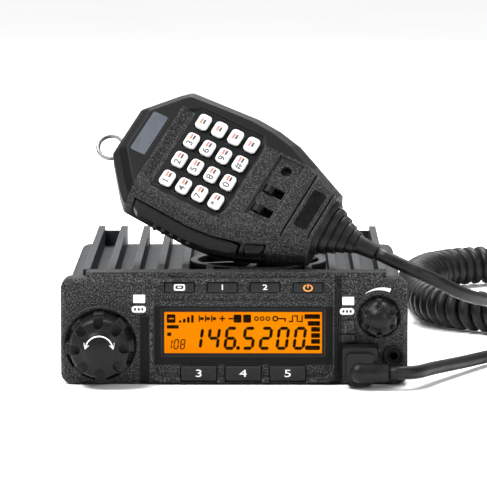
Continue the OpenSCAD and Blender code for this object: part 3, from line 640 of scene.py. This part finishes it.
# ---- Knobs ----
# Two moulded ABS knobs pushed onto their shafts. Each has lugs round its skirt, a pocket
# in its face over each lug, and a smooth dome in the middle.
knob_plastic = moulded("knob_plastic", level=0.006, grain=0.6 * MM, depth=0.05 * MM, rough=0.34,
                       edge=0.3 * MM)
KNOB_SEAT = -82.4
CHANNEL_AT = (-55.7, 16.9)
VOLUME_AT = (60.4, 28.7)


def knob(name, at, profile, lugs, first, skirt, pocket, body):
    """A turned knob, in millimetres. profile is radius and height, skirt is a lug's inner
    place, half width, outer place and height, and pocket is its place, radius and floor."""
    lug_in, lug_half, lug_out, lug_top = skirt
    pocket_at, pocket_radius, pocket_floor = pocket
    opening = 8 * MM
    piece = start("circle", vertices=96, radius=profile[0][0] * MM, fill_type="NGON")
    for (r, h), (r2, h2) in zip(profile, profile[1:]):
        raise_by((h2 - h) * MM, r2 / r)
    bpy.ops.object.mode_set(mode="OBJECT")
    height = profile[-1][1]
    tools = {"UNION": [], "DIFFERENCE": []}
    for k in range(lugs):
        turn = Matrix.Rotation(math.radians(first + 360 / lugs * k), 4, "Z")
        lug = start("cube", size=1 * MM)
        bpy.ops.transform.resize(value=(lug_out - lug_in, 2 * lug_half, lug_top))
        bpy.ops.mesh.bevel(offset=0.5 * MM, segments=3)
        tools["UNION"].append(done(lug, "lug", turn @ Matrix.Translation(
            Vector(((lug_in + lug_out) / 2, 0, lug_top / 2)) * MM)))
        cut = start("cylinder", vertices=32, radius=pocket_radius * MM,
                    depth=2 * (height - pocket_floor) * MM)
        bpy.ops.mesh.select_all(action="DESELECT")
        bpy.ops.object.mode_set(mode="OBJECT")
        for v in cut.data.vertices:
            v.select = v.co.x > 0.01 * MM
        bpy.ops.object.mode_set(mode="EDIT")
        bpy.ops.transform.translate(value=(opening, 0, 0))
        tools["DIFFERENCE"].append(done(cut, "cut", turn @ Matrix.Translation(
            Vector((pocket_at, 0, height)) * MM)))
    for operation, parts in tools.items():
        bpy.ops.object.select_all(action="DESELECT")
        for part in parts:
            part.select_set(True)
        bpy.context.view_layer.objects.active = parts[0]
        bpy.ops.object.join()
        tool = bpy.context.view_layer.objects.active
        bpy.context.view_layer.objects.active = piece
        change = piece.modifiers.new("change", "BOOLEAN")
        change.operation = operation
        change.solver = "EXACT"
        change.use_self = True
        change.object = tool
        bpy.ops.object.modifier_apply(modifier="change")
        bpy.data.objects.remove(tool)
    soften = piece.modifiers.new("soften", "BEVEL")
    soften.width = 0.3 * MM
    soften.segments = 3
    soften.limit_method = "ANGLE"
    soften.angle_limit = math.radians(35)
    soften.use_clamp_overlap = True
    bpy.ops.object.modifier_apply(modifier="soften")
    bpy.ops.object.select_all(action="DESELECT")
    piece.select_set(True)
    bpy.context.view_layer.objects.active = piece
    bpy.ops.object.shade_smooth_by_angle(angle=math.radians(32))
    done(piece, name, on_panel(at[0], KNOB_SEAT, at[1]), knob_plastic)
    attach(piece, body)
    return piece


channel_profile = [(13.3, 0), (13.3, 4), (12.8, 6), (12.3, 15), (11.5, 16), (7.8, 16.9), (7, 17.5),
                   (6.2, 18.15), (5, 18.8), (3.8, 19.2), (2.5, 19.45), (1.2, 19.56)]
volume_profile = [(7.6, 0), (7.6, 2.5), (7, 4), (7.1, 10.6), (6.5, 11.6), (4.8, 12.3), (4.2, 12.95),
                  (3.6, 13.6), (2.7, 14.1), (1.8, 14.4), (0.8, 14.57)]
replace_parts(knob("channel_knob_turned", CHANNEL_AT, channel_profile, lugs=8, first=2,
                 skirt=(10.5, 2.3, 14.2, 11), pocket=(10, 2.1, 11.6), body="channel_dial"),
            "channel_knob")
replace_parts(knob("volume_knob_turned", VOLUME_AT, volume_profile, lugs=6, first=30,
                 skirt=(6, 1.3, 8, 8.4), pocket=(6, 1.2, 9.0), body="volume_dial"),
            "volume_knob")


def sweep(name, centre, first, last, lower, upper, depth, finish):
    """A painted band between two radii, each a function of the share of the way from first
    to last degrees. depth gives the height that it lies at, in millimetres, at a radius."""
    piece = start("grid", x_subdivisions=36, y_subdivisions=2, size=2)
    bpy.ops.object.mode_set(mode="OBJECT")
    for v in piece.data.vertices:
        along, across = (v.co.x + 1) / 2, (v.co.y + 1) / 2
        a = math.radians(first + (last - first) * along)
        r = lower(along) + (upper(along) - lower(along)) * across
        v.co = Vector((r * math.cos(a), r * math.sin(a), depth(r))) * MM
    bpy.ops.object.mode_set(mode="EDIT")
    bpy.ops.mesh.select_all(action="SELECT")
    raise_by(0.03 * MM)
    bpy.ops.mesh.normals_make_consistent()
    return done(piece, name, on_panel(centre[0], KNOB_SEAT, centre[1]), finish)


def dome(r):
    """Height of the channel knob's dome at a radius."""
    for (r1, h1), (r2, h2) in zip(channel_profile, channel_profile[1:]):
        if r2 <= r < r1:
            return h1 + (h2 - h1) * (r1 - r) / (r1 - r2)
    return channel_profile[-1][1]


arrow_head = (lambda t: 5.72 - 1.25 * t, lambda t: 5.74 + 1.25 * t)
arrow = [sweep("arc", CHANNEL_AT, 155, 25, lambda t: 5.5, lambda t: 5.95, dome, paint_white),
         sweep("head_left", CHANNEL_AT, 178, 155, *arrow_head, dome, paint_white),
         sweep("head_right", CHANNEL_AT, 2, 25, *arrow_head, dome, paint_white)]
joined("channel_arrow", arrow, "channel_dial")
panel_over_seat = 1.63
wedge = sweep("wedge", VOLUME_AT, 121, 66, lambda t: 11.0, lambda t: 11.15 + 1.5 * t,
              lambda r: panel_over_seat, paint_white)
joined("volume_wedge", [wedge], "radio")

# ---- Sockets ----
# Moulded black plastic sockets behind holes in the panel and the rear wall. The speaker
# and the fan share their finish. A raised ring is moulded round the earphone hole.
jack_ring = start("circle", vertices=48, radius=4.5 * MM, fill_type="NGON")
bpy.ops.mesh.inset(thickness=1.3 * MM)
bpy.ops.mesh.delete(type="FACE")
bpy.ops.mesh.select_all(action="SELECT")
raise_by(0.9 * MM)
bpy.ops.mesh.normals_make_consistent()
bpy.ops.object.mode_set(mode="OBJECT")
ring_edge = jack_ring.modifiers.new("edge", "BEVEL")
ring_edge.width = 0.35 * MM
ring_edge.segments = 3
bpy.ops.object.modifier_apply(modifier="edge")
bpy.ops.object.shade_smooth_by_angle(angle=math.radians(35))
ring_face = -83.95
done(jack_ring, "ring", on_panel(66.6, ring_face, 12), knob_plastic)
joined("earphone_ring", [jack_ring], "radio")
socket_plastic = moulded("socket_plastic", level=0.004, grain=0.5 * MM, depth=0.03 * MM, rough=0.42,
                         edge=0.2 * MM)
cover(socket_plastic, "mic_jack", "phone_jacks", "dc_inlet", "speaker", "fan_frame", "fan_rotor")

# ---- Metal parts ----
# Nickel-plated screws, shafts, controls and antenna connector, dulled a little by
# handling. The microphone's hanging ring is bent from darker, brushed steel wire.
plated = Finish("plated_metal", {"Metallic": 1.0})
plated_noise = plated.noise(1.5 * MM, 3)
plated.feed("Base Color", plated.ramp(plated_noise, 0.3, 0.7, grey(0.26), grey(0.38)))
plated.feed("Roughness", plated.fade(plated_noise, 0.3, 0.7, 0.22, 0.38))
cover(plated, "channel_encoder", "volume_pot", "channel_shaft", "volume_shaft", "case_screws",
      "mic_screws", "antenna_connector")
ring_steel = Finish("ring_steel", {"Metallic": 1.0})
ring_brushed = ring_steel.noise(0.8 * MM, 3)
ring_steel.feed("Base Color", ring_steel.ramp(ring_brushed, 0.3, 0.7, grey(0.17), grey(0.24)))
ring_steel.feed("Roughness", ring_steel.fade(ring_brushed, 0.3, 0.7, 0.32, 0.48))
cover(ring_steel, "hang_ring")

# ---- Boards ----
# Glass-fibre circuit boards, held inside the case. The main board has a green solder
# mask. The one behind the panel and the one in the microphone, which show through
# openings, are black.
board_mask = Finish("board_mask", {"Roughness": 0.35})
board_lines = board_mask.noise(2.5 * MM, 4)
board_mask.feed("Base Color", board_mask.ramp(board_lines, 0.45, 0.55, (0.01, 0.07, 0.03, 1),
                                              (0.03, 0.17, 0.07, 1)))
cover(board_mask, "main_board")
tray_black = Finish("tray_black", {"Roughness": 0.6, "Specular IOR Level": 0.2})
tray_black.mottle(1 * MM, grey(0.003), grey(0.007))
cover(tray_black, "mic_board", "front_board")

# ---- Hand microphone ----
# Two ABS shells with a fine grain, screwed together from behind. The field round the keys
# and the rim above it are smooth and darker, and the back of the shells is darker too; on the
# rim and the back the darker colour is painted shade.


def mic_smooth_and_shade(made):
    """1 on the key field and rim of the microphone's face and on the back of its shells, set by
    place along its own directions in millimetres. The key field has a polish; on the rim and
    the back the darker colour that this brings is painted shade, with a smoother finish."""
    at = made.node("ShaderNodeVectorMath", {"operation": "SUBTRACT"},
                   {0: made.place(), 1: on_mic(0, 0, 0)})
    u, v, n = (made.node("ShaderNodeVectorMath", {"operation": "DOT_PRODUCT"},
                         {0: at, 1: SPIN @ Vector(axis)}, "Value") / MM
               for axis in ((1, 0, 0), (0, 1, 0), (0, 0, 1)))
    keypad = (u > -17.0) * (u < 16.5) * (v > -21.5)
    # The rim and everything more than 9 mm behind the face are darkened here as painted shade.
    rim = made.fade((v > 18.5) + (u < -23.5) + (n < -9), 0, 1) * (u < 40)
    return made.fade(keypad + rim, 0, 1)


mic_plastic = moulded("mic_plastic", level=0.006, grain=0.6 * MM, depth=0.15 * MM, rough=0.42,
                      edge=0.7 * MM, painted_glint_speckle=8, smooth=mic_smooth_and_shade)
cover(mic_plastic, "mic_front_case", "mic_rear_case")
grip_plastic = moulded("grip_plastic", level=0.004, grain=0.5 * MM, depth=0.05 * MM, rough=0.4,
                       edge=0.6 * MM)
cover(grip_plastic, "ptt_bar", "side_key", "lock_switch", "tone_switch")
plate_blue = Finish("plate_blue", {"Specular IOR Level": 0.3})
plate_blue.feed("Roughness", plate_blue.fade(plate_blue.noise(1 * MM), 0.3, 0.7, 0.3, 0.45))
plate_blue.mottle(4 * MM, (0.036, 0.042, 0.055, 1), (0.05, 0.057, 0.072, 1))
cover(plate_blue, "mic_nameplate")


def mic_place(x, y, z):
    """Places a flat shape on the microphone's face, its X across the face and its Y upward."""
    return Matrix.Translation(on_mic(x, y, z)) @ SPIN.to_4x4() @ Matrix.Rotation(math.pi / 2, 4, "Z")


badge = start("plane", size=1 * MM)
stretch(19, 5.7)
bpy.ops.mesh.bevel(affect="VERTICES", offset=1.1 * MM, segments=4)
raise_by(0.35 * MM)
raise_by(0.12 * MM, 0.985)
done(badge, "badge", mic_place(48, 0, -0.1), mask_black)
joined("neck_badge", [badge], "microphone")

# ---- Microphone keys ----
# Sixteen white silicone rubber key tops with rounded corners and a slight crown. Each
# is printed with a red and a dark dash, and the first three of a row with a dark number
# or sign too.
key_white = Finish("key_white", {"Roughness": 0.4})
key_white.mottle(3 * MM, grey(0.50), grey(0.58))
key_white.relief(key_white.noise(0.5 * MM), 0.02 * MM)
ink_dark = Finish("ink_dark", {"Roughness": 0.5})
ink_dark.mottle(0.5 * MM, grey(0.012), grey(0.04))
ink_red = Finish("ink_red", {"Roughness": 0.5})
ink_red.mottle(0.5 * MM, (0.55, 0.07, 0.04, 1), (0.7, 0.14, 0.1, 1))
cap = start("plane", size=1 * MM)
stretch(7.2, 5.6)
bpy.ops.mesh.bevel(affect="VERTICES", offset=1.7 * MM, segments=6)
raise_by(1.0 * MM)
raise_by(0.28 * MM, 0.95)
raise_by(0.14 * MM, 0.9)
raise_by(0.05 * MM, 0.8)
done(cap, "cap", Matrix(), key_white)
cap.data.shade_smooth()
long_dash = bar(2.6, 0.95, 0.1, 0.03, ink_red)
short_dash = bar(2.3, 0.95, 0.1, 0.03, ink_dark)
LEGENDS = ["123", "456", "789", "*0#"]
ROW_GAP, COLUMN_GAP = 7.8, 10.4
CAP_FOOT, DASH_AT, NUMBER_AT = -0.38, 1.09, 1.115
for r in range(4):
    for c in range(4):
        node = f"mic_key_r{r + 1}c{c + 1}"
        u, v = (r - 1.5) * ROW_GAP, (c - 1.5) * COLUMN_GAP
        top = again(cap, mic_place(u, v, CAP_FOOT))
        joined(node + "_cap", [top], node)
        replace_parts(top, node)
        shift = 1.55 if c < 3 else 0.0
        inks = [again(long_dash, mic_place(u - 0.85, v + shift, DASH_AT)),
                again(short_dash, mic_place(u + 0.45, v + shift, DASH_AT))]
        if c < 3:
            inks.append(number(LEGENDS[r][c], mic_place(u, v - 1.6, NUMBER_AT), 3.0, ink_dark,
                               wide=1.1, bold=0.07))
        joined(node + "_ink", inks, node)
for pattern in (cap, long_dash, short_dash):
    bpy.data.objects.remove(pattern)

# ---- Floor and light ----
# A plain pale paper floor. Soft light comes from the upper left, from above and behind,
# weakly from the right, and from the whole room. The white of the room is brighter to
# the camera than to the surfaces, so that it does not wash them out.
bpy.ops.mesh.primitive_plane_add(size=9, location=(0, 0, -0.0004))
floor = bpy.context.object
floor.name = "floor"
floor_paper = Finish("floor_paper", {"Roughness": 0.9})
floor_paper.mottle(0.2, grey(0.92), grey(0.94))
floor.data.materials.append(floor_paper.material)
bpy.context.scene.view_settings.view_transform = "Standard"
world = bpy.data.worlds.new("studio")
bpy.context.scene.world = world
world.use_nodes = True
sky = world.node_tree.nodes["Background"]
sky.inputs["Color"].default_value = (1, 1, 1, 1)
seen = world.node_tree.nodes.new("ShaderNodeLightPath")
strength = world.node_tree.nodes.new("ShaderNodeMath")
strength.operation = "MULTIPLY_ADD"
on_surfaces, in_camera = 0.45, 1.0
strength.inputs[1].default_value = in_camera - on_surfaces
strength.inputs[2].default_value = on_surfaces
world.node_tree.links.new(seen.outputs["Is Camera Ray"], strength.inputs[0])
world.node_tree.links.new(strength.outputs[0], sky.inputs["Strength"])


def softbox(name, at, aim, size, power):
    """A square area light at a place, turned towards aim."""
    data = bpy.data.lights.new(name, "AREA")
    data.size = size
    data.energy = power
    light = bpy.data.objects.new(name, data)
    bpy.context.scene.collection.objects.link(light)
    light.location = at
    light.rotation_euler = (Vector(aim) - Vector(at)).to_track_quat("-Z", "Y").to_euler()


softbox("key_light", (-0.5, -0.3, 0.95), (0, 0, 0.05), 0.5, 19)
softbox("top_light", (0.1, 0.45, 0.9), (0, -0.02, 0.05), 0.6, 16)
softbox("fill_light", (0.7, -0.7, 0.45), (0.02, 0, 0.05), 0.4, 5)
sun_data = bpy.data.lights.new("room_light", "SUN")
sun_data.energy = 1.9
sun_data.angle = math.radians(40)
sun = bpy.data.objects.new("room_light", sun_data)
bpy.context.scene.collection.objects.link(sun)
sun.rotation_euler = (math.radians(-28), math.radians(-12), 0)
